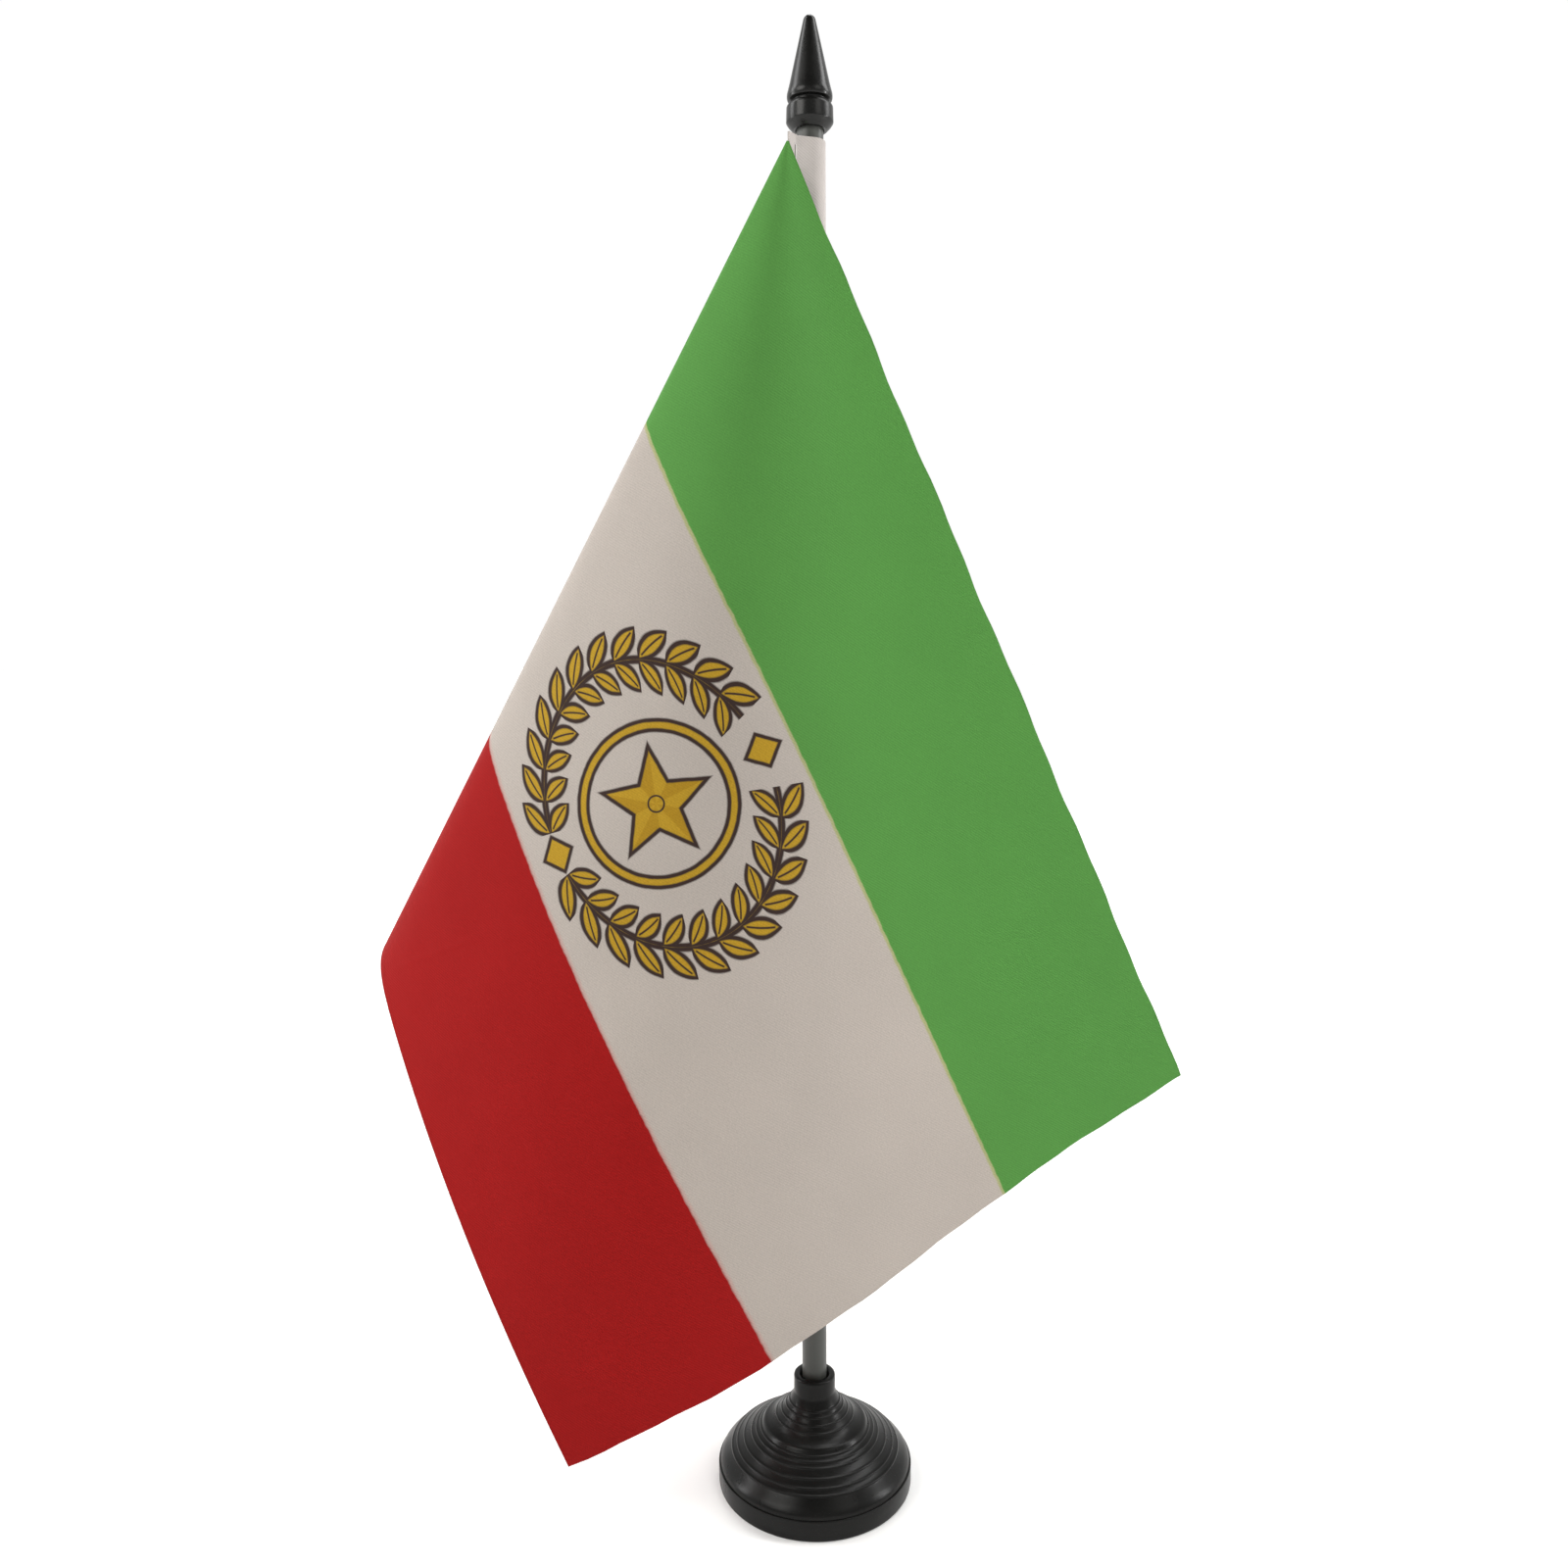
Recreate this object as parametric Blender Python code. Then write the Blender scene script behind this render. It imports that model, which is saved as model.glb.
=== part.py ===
"""Desk flag stand: a turned two-part base, a slim pole with a spear finial, and a hung table flag.

Metres, +Z up. The origin is where the pole's axis meets the table, under the middle of the base.
+X is to the viewer's right, and -Y is towards the viewer.
"""

import math

import bmesh
import bpy
from mathutils import Matrix, Vector

MM = 0.001

# Clearances
SEAT_GAP = 0.3 * MM  # between pieces that rest on or fit into each other
POLE_PLAY = 0.15 * MM  # radial, pole in its socket and in the finial
SLEEVE_PLAY = 0.2 * MM  # radial, cloth sleeve round the pole

# Overall sizes
STAND_HEIGHT = 280 * MM  # table to finial tip
BASE_RADIUS = 19.5 * MM
NECK_TOP = 22.4 * MM
POLE_RADIUS = 2.45 * MM

# Foot tray
FOOT_HEIGHT = 4.2 * MM
FOOT_FLOOR = 1.5 * MM
FOOT_EDGE = 0.5 * MM
SPIGOT_HEIGHT = 0.9 * MM
SPIGOT_WALL = 0.9 * MM

# Domed upper moulding
DOME_INSET = 0.3 * MM  # the dome's skirt stands in from the foot's
DOME_WALL = 1.5 * MM
SHOULDER_RADIUS = BASE_RADIUS - 2.0 * MM
SHOULDER_HEIGHT = 7.0 * MM
NECK_RADIUS = POLE_RADIUS + POLE_PLAY + 1.55 * MM
NECK_FOOT = NECK_TOP - 4.0 * MM
NECK_ROUND = 0.5 * MM
# Step edges and the ogee's top, as shares of the way from the neck out to the shoulder
WIDE_STEPS = [0.52, 0.585, 0.655, 0.77, 0.875, 0.955]
OGEE_TOP = 0.335
FINE_STEPS = [0.08, 0.13, 0.2, 0.28]
STEP_RISE = 0.4 * MM
SWEEP_SHARE = 0.16  # part of the cone's rise that comes from its upward sweep into the neck
MOUTH_FLARE = 0.5 * MM
RIB_COUNT = 4
RIB_THICKNESS = 1.2 * MM
SOCKET_FLOOR = 1.2 * MM

# Ballast
BALLAST_THICKNESS = 2.4 * MM
BALLAST_HOLE_RADIUS = 3.0 * MM
BALLAST_SIDE_PLAY = 0.6 * MM

# Pole
POLE_WALL = 0.8 * MM
POLE_FOOT = 7.4 * MM

# Finial
FINIAL_BOTTOM = STAND_HEIGHT - 19.6 * MM
FINIAL_SOCKET_DEPTH = 8.6 * MM
COLLAR_RADIUS = POLE_RADIUS + POLE_PLAY + 1.75 * MM
COLLAR_HEIGHT = 4.5 * MM
GROOVE_RADIUS = COLLAR_RADIUS - 0.6 * MM
GROOVE_HEIGHT = 0.5 * MM
SPEAR_RADIUS = COLLAR_RADIUS - 0.23 * MM
SPEAR_LIP = 1.1 * MM
SPEAR_TIP_RADIUS = 1.15 * MM

# Flag
FLAG_LENGTH = 199 * MM
FLAG_WIDTH = 146 * MM
FLAG_TOP = FINIAL_BOTTOM - 2.0 * MM  # top of the sleeve
SLEEVE_LENGTH = 148 * MM
FIELD_DROP = 1.4 * MM  # the field's top corner is this far below the sleeve's
CLOTH = 0.5 * MM  # thickness of the cloth's stand-in solid
SLEEVE_CLOTH = 0.25 * MM
SEAM_THICKNESS = 0.5 * MM
SEAM_WIDTH = 4.0 * MM
SEAM_REACH = POLE_RADIUS + SLEEVE_PLAY + SLEEVE_CLOTH + SEAM_WIDTH  # the field leaves the seam here
SEAM_AZIMUTH = math.radians(236)
STITCH_INSET = 2.0 * MM
THREAD_RADIUS = 0.15 * MM
APEX_CUT = 14 * MM

# How the field hangs: a cone of straight lines from its top hoist corner, given by how far
# the line turns as it sweeps from the hoist edge to the top edge.
BACK_AZIMUTH = math.radians(169)
FOLD_ANGLE = math.radians(30.6)
FOLD_SOFTNESS = math.radians(2.6)
FOLD_TURN = math.radians(-170.5)
BACK_CURL = 0.5
FRONT_CURL = [-2.1, 0.0, -4.0, 2.8, -4.0]

ROUND = 48
SMALL_ROUND = 32


def clear_scene():
    for obj in list(bpy.data.objects):
        bpy.data.objects.remove(obj, do_unlink=True)


def material(name, colour, roughness, metallic=0.0):
    mat = bpy.data.materials.new(name)
    mat.use_nodes = True
    shader = mat.node_tree.nodes["Principled BSDF"]
    shader.inputs["Base Color"].default_value = (*colour, 1.0)
    shader.inputs["Roughness"].default_value = roughness
    shader.inputs["Metallic"].default_value = metallic
    return mat


def finish(name, mesh, mat, parent=None):
    obj = bpy.data.objects.new(name, mesh)
    bpy.context.scene.collection.objects.link(obj)
    obj.data.materials.append(mat)
    obj.data.shade_smooth()
    obj.data.set_sharp_from_angle(angle=math.radians(35))
    obj.parent = parent
    return obj


def helper(name, mesh):
    """A cutting or joining solid, which is no piece of the object."""
    obj = bpy.data.objects.new(name, mesh)
    bpy.context.scene.collection.objects.link(obj)
    obj.hide_render = True
    obj.display_type = "WIRE"
    return obj


def pivot(name, location, parent=None):
    empty = bpy.data.objects.new(name, None)
    bpy.context.scene.collection.objects.link(empty)
    empty.location = location
    empty.parent = parent
    return empty


def turned(name, profile, segments, closed_loop=True):
    """A solid of revolution about Z. The profile is (radius, height) pairs, outer side first, top
    to bottom. A closed loop makes a ring, an open one starts and ends on the axis."""
    bm = bmesh.new()
    rings = []
    for radius, height in profile:
        if radius < 1e-9:
            rings.append([bm.verts.new((0.0, 0.0, height))])
            continue
        ring = []
        for k in range(segments):
            angle = 2 * math.pi * k / segments
            ring.append(bm.verts.new((radius * math.cos(angle), radius * math.sin(angle), height)))
        rings.append(ring)
    pairs = list(zip(rings, rings[1:]))
    if closed_loop:
        pairs.append((rings[-1], rings[0]))
    for upper, lower in pairs:
        for k in range(segments):
            n = (k + 1) % segments
            if len(upper) == 1 and len(lower) == 1:
                continue
            if len(upper) == 1:
                bm.faces.new((upper[0], lower[k], lower[n]))
            elif len(lower) == 1:
                bm.faces.new((upper[k], lower[0], upper[n]))
            else:
                bm.faces.new((upper[k], lower[k], lower[n], upper[n]))
    bmesh.ops.recalc_face_normals(bm, faces=bm.faces)
    mesh = bpy.data.meshes.new(name)
    bm.to_mesh(mesh)
    bm.free()
    return mesh


def block(name, size, centre, azimuth=0.0):
    bm = bmesh.new()
    bmesh.ops.create_cube(bm, size=1.0)
    place = Matrix.Rotation(azimuth, 4, "Z") @ Matrix.Translation(centre) @ Matrix.Diagonal((*size, 1.0))
    bmesh.ops.transform(bm, matrix=place, verts=bm.verts)
    mesh = bpy.data.meshes.new(name)
    bm.to_mesh(mesh)
    bm.free()
    return mesh


def boolean(obj, other, operation):
    mod = obj.modifiers.new(other.name, "BOOLEAN")
    mod.operation = operation
    mod.object = other
    mod.solver = "EXACT"


def arc(centre, radius, start_deg, end_deg, steps):
    """Points of a circular arc in the (radius, height) plane."""
    points = []
    for k in range(steps + 1):
        angle = math.radians(start_deg + (end_deg - start_deg) * k / steps)
        points.append((centre[0] + radius * math.cos(angle), centre[1] + radius * math.sin(angle)))
    return points


def cone_radius(share):
    return NECK_RADIUS + (SHOULDER_RADIUS - NECK_RADIUS) * share


def cone_height(radius):
    """Height of the dome's stepped side at a radius: a straight slope that sweeps up into the neck."""
    rise = NECK_FOOT - SHOULDER_HEIGHT
    slope = rise * (1 - SWEEP_SHARE) * (SHOULDER_RADIUS - radius) / (SHOULDER_RADIUS - NECK_RADIUS)
    ogee_top = cone_radius(OGEE_TOP)
    inward = max(0.0, (ogee_top - radius) / (ogee_top - NECK_RADIUS))
    return SHOULDER_HEIGHT + slope + rise * SWEEP_SHARE * inward * inward


def stepped_cone():
    """The dome's outer side between the neck and the shoulder, as (radius, height), going down."""
    points = [(NECK_RADIUS, NECK_FOOT + STEP_RISE)]
    for radius in map(cone_radius, FINE_STEPS):
        points.append((radius - STEP_RISE * 0.8, cone_height(radius) + STEP_RISE * 0.75))
        points.append((radius, cone_height(radius) + STEP_RISE * 0.45))
        points.append((radius, cone_height(radius) - STEP_RISE * 0.15))
    ogee_top = cone_radius(OGEE_TOP)
    middle = (ogee_top + cone_radius(WIDE_STEPS[0])) / 2
    points.append((ogee_top, cone_height(ogee_top) - STEP_RISE * 0.2))
    points.append((middle - STEP_RISE, cone_height(middle) + STEP_RISE * 0.9))
    points.append((middle + STEP_RISE, cone_height(middle) + STEP_RISE * 0.3))
    for radius in map(cone_radius, WIDE_STEPS):
        points.append((radius - STEP_RISE, cone_height(radius) + STEP_RISE * 0.6))
        points.append((radius, cone_height(radius) + STEP_RISE * 0.3))
        points.append((radius + STEP_RISE / 8, cone_height(radius) - STEP_RISE * 0.35))
    return points


def base_foot(mat):
    """The low tray that stands on the table and closes the base from below."""
    dome_inside = BASE_RADIUS - DOME_INSET - DOME_WALL
    spigot_out = dome_inside - SEAT_GAP
    spigot_in = spigot_out - SPIGOT_WALL
    profile = [
        (BASE_RADIUS, FOOT_HEIGHT - 0.15 * MM),
        (BASE_RADIUS, FOOT_EDGE),
        (BASE_RADIUS - FOOT_EDGE, 0.0),
        (0.0, 0.0),
    ]
    inner = [
        (0.0, FOOT_FLOOR),
        (spigot_in, FOOT_FLOOR),
        (spigot_in, FOOT_HEIGHT + SPIGOT_HEIGHT),
        (spigot_out, FOOT_HEIGHT + SPIGOT_HEIGHT),
        (spigot_out, FOOT_HEIGHT),
        (BASE_RADIUS - 0.15 * MM, FOOT_HEIGHT),
    ]
    # the inner side runs from the axis up to the rim, so it goes on after the underside
    mesh = turned("base_foot", inner + profile, ROUND, closed_loop=False)
    return finish("base_foot", mesh, mat)


def base_dome(mat):
    """The stepped upper moulding with the pole's socket and, inside, the ribs that hold the ballast."""
    skirt = BASE_RADIUS - DOME_INSET
    skirt_in = skirt - DOME_WALL
    bottom = FOOT_HEIGHT + SEAT_GAP
    socket = POLE_RADIUS + POLE_PLAY
    outer = arc((NECK_RADIUS - NECK_ROUND, NECK_TOP - NECK_ROUND), NECK_ROUND, 90, 0, 4)
    outer += stepped_cone()
    outer += [
        (SHOULDER_RADIUS, SHOULDER_HEIGHT - 0.25 * MM),
        (skirt - 0.75 * MM, SHOULDER_HEIGHT - 1.15 * MM),
        (skirt - 0.15 * MM, SHOULDER_HEIGHT - 2.0 * MM),
        (skirt, bottom + 0.1 * MM),
        (skirt - 0.1 * MM, bottom),
    ]
    socket_floor = POLE_FOOT - SEAT_GAP
    tube_bottom = socket_floor - SOCKET_FLOOR
    below = DOME_WALL * 1.9
    inner = [
        (skirt_in, bottom),
        (skirt_in, SHOULDER_HEIGHT - 1.6 * MM),
        (SHOULDER_RADIUS - 1.6 * MM, SHOULDER_HEIGHT - 1.2 * MM),
        (cone_radius(OGEE_TOP), cone_height(cone_radius(OGEE_TOP)) - below),
        (NECK_RADIUS + 0.6 * MM, cone_height(NECK_RADIUS + 0.6 * MM) - below),
        (NECK_RADIUS, NECK_FOOT - below - DOME_WALL / 2),
        (NECK_RADIUS, tube_bottom),
        (0.0, tube_bottom),
    ]
    bore = [
        (0.0, socket_floor),
        (socket, socket_floor),
        (socket, NECK_TOP - MOUTH_FLARE * 1.4),
        (socket + MOUTH_FLARE, NECK_TOP),
    ]
    shell = finish("base_dome", turned("base_dome", bore + outer + inner, ROUND, closed_loop=False), mat)
    rib_bottom = FOOT_FLOOR + SEAT_GAP + BALLAST_THICKNESS + SEAT_GAP
    rib_top = SHOULDER_HEIGHT + 2.0 * MM
    reach = SHOULDER_RADIUS - 4.5 * MM
    for k in range(RIB_COUNT):
        centre = ((NECK_RADIUS - 0.6 * MM + reach) / 2, 0.0, (rib_bottom + rib_top) / 2)
        size = (reach - NECK_RADIUS + 0.6 * MM, RIB_THICKNESS, rib_top - rib_bottom)
        azimuth = 2 * math.pi * (k + 0.5) / RIB_COUNT
        rib = helper(f"rib_form_{k + 1}", block(f"rib_form_{k + 1}", size, centre, azimuth))
        boolean(shell, rib, "UNION")
    return shell


def ballast_disc(mat):
    low = FOOT_FLOOR + SEAT_GAP
    high = low + BALLAST_THICKNESS
    spigot_in = BASE_RADIUS - DOME_INSET - DOME_WALL - SEAT_GAP - SPIGOT_WALL
    outside = spigot_in - BALLAST_SIDE_PLAY
    chamfer = 0.3 * MM
    profile = [
        (outside - chamfer, high),
        (outside, high - chamfer),
        (outside, low + chamfer),
        (outside - chamfer, low),
        (BALLAST_HOLE_RADIUS, low),
        (BALLAST_HOLE_RADIUS, high),
    ]
    return finish("ballast_disc", turned("ballast_disc", profile, ROUND), mat)


def pole(mat, parent):
    top = FINIAL_BOTTOM + FINIAL_SOCKET_DEPTH - SEAT_GAP
    inside = POLE_RADIUS - POLE_WALL
    edge = 0.2 * MM
    profile = [
        (POLE_RADIUS - edge, top),
        (POLE_RADIUS, top - edge),
        (POLE_RADIUS, POLE_FOOT + edge),
        (POLE_RADIUS - edge, POLE_FOOT),
        (inside, POLE_FOOT),
        (inside, top),
    ]
    obj = finish("pole", turned("pole", profile, SMALL_ROUND), mat)
    obj.parent = parent
    obj.matrix_parent_inverse = Matrix.Translation(-Vector(parent.location))
    return obj


def finial(mat, parent):
    collar_top = FINIAL_BOTTOM + COLLAR_HEIGHT
    spear_foot = collar_top + GROOVE_HEIGHT
    socket = POLE_RADIUS + POLE_PLAY
    tip = arc((0.0, STAND_HEIGHT - SPEAR_TIP_RADIUS), SPEAR_TIP_RADIUS, 90, 15, 5)
    tip[0] = (0.0, STAND_HEIGHT)
    outer = tip + [
        (SPEAR_RADIUS - 0.05 * MM, spear_foot + SPEAR_LIP + 0.3 * MM),
        (SPEAR_RADIUS, spear_foot + SPEAR_LIP - 0.2 * MM),
        (SPEAR_RADIUS - 0.12 * MM, spear_foot + 0.3 * MM),
        (SPEAR_RADIUS - 0.3 * MM, spear_foot),
        (GROOVE_RADIUS, spear_foot),
        (GROOVE_RADIUS, collar_top),
        (COLLAR_RADIUS - 0.35 * MM, collar_top),
        (COLLAR_RADIUS - 0.1 * MM, collar_top - 0.4 * MM),
        (COLLAR_RADIUS, collar_top - 1.3 * MM),
        (COLLAR_RADIUS - 0.05 * MM, FINIAL_BOTTOM + 2.2 * MM),
        (COLLAR_RADIUS - 0.3 * MM, FINIAL_BOTTOM + 1.1 * MM),
        (COLLAR_RADIUS - 0.75 * MM, FINIAL_BOTTOM + 0.4 * MM),
        (COLLAR_RADIUS - 1.25 * MM, FINIAL_BOTTOM),
    ]
    bore = [
        (socket, FINIAL_BOTTOM),
        (socket, FINIAL_BOTTOM + FINIAL_SOCKET_DEPTH),
        (0.0, FINIAL_BOTTOM + FINIAL_SOCKET_DEPTH),
    ]
    obj = finish("finial", turned("finial", outer + bore, SMALL_ROUND, closed_loop=False), mat)
    obj.parent = parent
    obj.matrix_parent_inverse = Matrix.Translation(-Vector(parent.location))
    return obj


def seam_point(reach, aside, height):
    """A point of the seam: reach out from the pole's axis, aside across the seam, at a height."""
    out = Vector((math.cos(SEAM_AZIMUTH), math.sin(SEAM_AZIMUTH), 0.0))
    across = Vector((-out.y, out.x, 0.0))
    return out * reach + across * aside + Vector((0.0, 0.0, height))


def flag_sleeve(mat, parent):
    """The hem that wraps the pole, with the flat sewn seam that the field leaves from."""
    inside = POLE_RADIUS + SLEEVE_PLAY
    outside = inside + SLEEVE_CLOTH
    top = FLAG_TOP
    bottom = FLAG_TOP - SLEEVE_LENGTH
    profile = [(0.0, top), (outside, top), (outside, bottom), (0.0, bottom)]
    obj = finish("flag_sleeve", turned("flag_sleeve", profile, SMALL_ROUND, closed_loop=False), mat)
    seam_end = SEAM_REACH - SEAT_GAP
    centre = (seam_end / 2, 0.0, (top + bottom) / 2)
    seam = helper("seam_form", block("seam_form", (seam_end, SEAM_THICKNESS, top - bottom), centre, SEAM_AZIMUTH))
    boolean(obj, seam, "UNION")
    margin = 1.0 * MM
    cut_profile = [(0.0, top + margin), (inside, top + margin), (inside, bottom - margin), (0.0, bottom - margin)]
    cut = helper("sleeve_bore_form", turned("sleeve_bore_form", cut_profile, SMALL_ROUND, closed_loop=False))
    boolean(obj, cut, "DIFFERENCE")
    obj.parent = parent
    obj.matrix_parent_inverse = Matrix.Translation(-Vector(parent.location))
    return obj


def seam_thread(name, side, mat, parent):
    """One of the lockstitch's two threads, drawn tight along its face of the seam."""
    aside = side * (SEAM_THICKNESS / 2 + SEAT_GAP + THREAD_RADIUS)
    end = 2.0 * MM
    curve = bpy.data.curves.new(name, "CURVE")
    curve.dimensions = "3D"
    curve.bevel_depth = THREAD_RADIUS
    curve.bevel_resolution = 1
    curve.use_fill_caps = True
    line = curve.splines.new("POLY")
    line.points.add(1)
    top = seam_point(SEAM_REACH - STITCH_INSET, aside, FLAG_TOP - end)
    foot = seam_point(SEAM_REACH - STITCH_INSET, aside, FLAG_TOP - SLEEVE_LENGTH + end)
    line.points[0].co = (*top, 1.0)
    line.points[1].co = (*foot, 1.0)
    obj = bpy.data.objects.new(name, curve)
    bpy.context.scene.collection.objects.link(obj)
    obj.data.materials.append(mat)
    obj.parent = parent
    obj.matrix_parent_inverse = Matrix.Translation(-Vector(parent.location))
    return obj


def curl_at(angle):
    """How sharply the sweep of lines turns at this angle from the hoist edge."""
    spread = (angle - FOLD_ANGLE) / FOLD_SOFTNESS
    fold = FOLD_TURN / (FOLD_SOFTNESS * math.sqrt(2 * math.pi)) * math.exp(-0.5 * spread * spread)
    share = 1 / (1 + math.exp(-max(-60.0, min(60.0, 2 * spread))))
    place = (angle - FOLD_ANGLE) / (math.pi / 2 - FOLD_ANGLE) * (len(FRONT_CURL) - 1)
    place = max(0.0, min(len(FRONT_CURL) - 1.0, place))
    low = min(int(place), len(FRONT_CURL) - 2)
    front = FRONT_CURL[low] + (FRONT_CURL[low + 1] - FRONT_CURL[low]) * (place - low)
    return fold + BACK_CURL * (1 - share) + front * share


def cloth_lines(steps=900):
    """(angle, direction, normal) of the straight lines that make the hung cloth. The angle is
    measured on the flat cloth, from the hoist edge to the top edge."""
    line = Vector((0.0, 0.0, -1.0))
    sweep = Vector((math.cos(BACK_AZIMUTH), math.sin(BACK_AZIMUTH), 0.0))
    lines = [(0.0, line.copy(), line.cross(sweep))]
    pace = (math.pi / 2) / steps
    for k in range(steps):
        side = line.cross(sweep)
        turn = side + line * curl_at((k + 0.5) * pace)
        step = Matrix.Rotation(turn.length * pace, 3, turn)
        line = (step @ line).normalized()
        sweep = step @ sweep
        sweep = (sweep - line * sweep.dot(line)).normalized()
        lines.append(((k + 1) * pace, line.copy(), line.cross(sweep)))
    return lines


def chosen_lines():
    """Fewer lines where the cloth is nearly flat, more round the fold. The bottom fly corner keeps its own."""
    corner = math.atan2(FLAG_LENGTH, FLAG_WIDTH)
    lines = cloth_lines()
    kept = [0]
    for k in range(1, len(lines) - 1):
        angle = lines[k][0]
        turned_by = lines[k][2].angle(lines[kept[-1]][2])
        swept = angle - lines[kept[-1]][0]
        at_corner = lines[k - 1][0] < corner <= angle
        if turned_by > math.radians(14) or swept > math.radians(6) or at_corner:
            kept.append(k)
    kept.append(len(lines) - 1)
    return [lines[k] for k in kept]


def flag_cloth(mat, parent):
    apex = seam_point(SEAM_REACH, 0.0, FLAG_TOP - FIELD_DROP)
    rows = 6
    lines = chosen_lines()
    bm = bmesh.new()
    front, back = [], []
    for angle, line, normal in lines:
        reach = min(
            FLAG_WIDTH / max(math.cos(angle), 1e-6),
            FLAG_LENGTH / max(math.sin(angle), 1e-6),
        )
        column_front, column_back = [], []
        for row in range(rows + 1):
            at = apex + line * (APEX_CUT + (reach - APEX_CUT) * row / rows)
            column_front.append(bm.verts.new(at + normal * (CLOTH / 2)))
            column_back.append(bm.verts.new(at - normal * (CLOTH / 2)))
        front.append(column_front)
        back.append(column_back)
    last = len(lines) - 1
    for i in range(last):
        for row in range(rows):
            bm.faces.new((front[i][row], front[i][row + 1], front[i + 1][row + 1], front[i + 1][row]))
            bm.faces.new((back[i][row], back[i + 1][row], back[i + 1][row + 1], back[i][row + 1]))
        for row in (0, rows):
            bm.faces.new((front[i][row], front[i + 1][row], back[i + 1][row], back[i][row]))
    for row in range(rows):
        for i in (0, last):
            bm.faces.new((front[i][row], front[i][row + 1], back[i][row + 1], back[i][row]))
    bmesh.ops.recalc_face_normals(bm, faces=bm.faces)
    mesh = bpy.data.meshes.new("flag_cloth")
    bm.to_mesh(mesh)
    bm.free()
    obj = finish("flag_cloth", mesh, mat)
    obj.parent = parent
    obj.matrix_parent_inverse = Matrix.Translation(-Vector(parent.location))
    return obj


def main():
    clear_scene()
    black = material("moulded_black", (0.012, 0.012, 0.011), 0.38)
    pole_grey = material("pole_plastic", (0.06, 0.062, 0.056), 0.45)
    steel = material("ballast_steel", (0.45, 0.44, 0.42), 0.4, 1.0)
    white = material("sleeve_cloth", (0.62, 0.6, 0.57), 0.9)
    field = material("flag_cloth", (0.55, 0.5, 0.45), 0.9)
    thread = material("thread", (0.75, 0.73, 0.7), 0.8)

    base_foot(black)
    base_dome(black)
    ballast_disc(steel)
    pole_axis = pivot("pole_axis", (0.0, 0.0, POLE_FOOT))
    pole(pole_grey, pole_axis)
    finial_seat = pivot("finial_seat", (0.0, 0.0, FINIAL_BOTTOM))
    finial(black, finial_seat)
    swivel = pivot("flag_swivel", (0.0, 0.0, FLAG_TOP))
    flag_sleeve(white, swivel)
    seam_thread("needle_thread", 1, thread, swivel)
    seam_thread("bobbin_thread", -1, thread, swivel)
    flag_cloth(field, swivel)


main()
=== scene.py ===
"""Looks of the desk flag stand: printed cloth, sewn sleeve, turned black mouldings, floor and light.

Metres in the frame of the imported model: +Z up, the origin on the table under the pole, -Y towards
the viewer. Sizes that the frame does not give are named once, at the top of the section that uses them.
"""

import math

import bpy
from mathutils import Matrix, Vector


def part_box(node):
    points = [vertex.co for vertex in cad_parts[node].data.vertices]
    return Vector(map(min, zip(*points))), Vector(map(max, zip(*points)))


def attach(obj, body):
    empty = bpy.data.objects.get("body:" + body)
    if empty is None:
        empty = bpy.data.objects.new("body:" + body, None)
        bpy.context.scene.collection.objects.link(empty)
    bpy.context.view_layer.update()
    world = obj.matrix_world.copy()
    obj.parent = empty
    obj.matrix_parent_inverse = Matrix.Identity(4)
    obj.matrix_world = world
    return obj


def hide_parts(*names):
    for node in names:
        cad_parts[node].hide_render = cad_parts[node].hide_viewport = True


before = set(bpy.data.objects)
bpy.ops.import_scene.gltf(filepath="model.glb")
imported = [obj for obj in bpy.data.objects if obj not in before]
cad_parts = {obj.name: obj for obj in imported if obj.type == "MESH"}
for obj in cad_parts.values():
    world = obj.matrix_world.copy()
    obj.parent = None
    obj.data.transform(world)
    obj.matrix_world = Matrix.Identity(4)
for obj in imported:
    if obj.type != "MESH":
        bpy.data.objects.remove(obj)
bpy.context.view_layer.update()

MM = 0.001

# Flag, as cut
FLAG_LENGTH = 199 * MM
FLAG_WIDTH = 146 * MM
CLOTH = 0.16 * MM
TOP_STRIPE = 0.315 * FLAG_WIDTH
LOW_STRIPE = 0.703 * FLAG_WIDTH

# How it hangs: straight lines from the top hoist corner, like the CAD model's cloth but smoother
BACK_AZIMUTH = math.radians(169)
FOLD_ANGLE = math.radians(30.67)
FOLD_SOFTNESS = math.radians(2.14)
FOLD_TURN = math.radians(-171.6)
BACK_CURL = 0.5
FRONT_CURL = [-0.5, -1.3, -2.6, 0.7, 0.45]
SWEEP_STEPS = 900
SWEEP_PACE = (math.pi / 2) / SWEEP_STEPS

# Seam between the sleeve and the field
SEAM_AZIMUTH = math.radians(236)
SEAM_REACH = 6.9 * MM
STITCH_INSET = 2.0 * MM
STITCH_PITCH = 2.9 * MM
HEM_CLOTH = 0.18 * MM
FIELD_DROP = 1.4 * MM  # the field starts this far below the top of the sleeve

# Emblem, measured on the flat cloth from the top hoist corner
EMBLEM_ALONG = 94 * MM
EMBLEM_DOWN = 74.0 * MM

POLE_LOW, POLE_HIGH = (Vector(corner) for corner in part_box("pole"))
SLEEVE_LOW, SLEEVE_HIGH = (Vector(corner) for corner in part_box("flag_sleeve"))
DOME_LOW, DOME_HIGH = (Vector(corner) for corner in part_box("base_dome"))
FOOT_HIGH = Vector(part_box("base_foot")[1])
SPEAR_LOW, SPEAR_HIGH = (Vector(corner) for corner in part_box("finial"))
POLE_RADIUS = POLE_HIGH.x
POLE_PLAY = 0.15 * MM  # between the pole and each socket that it fits in
FLAG_TOP = SLEEVE_HIGH.z


# ---------------------------------------------------------------- modelling by hand

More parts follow.
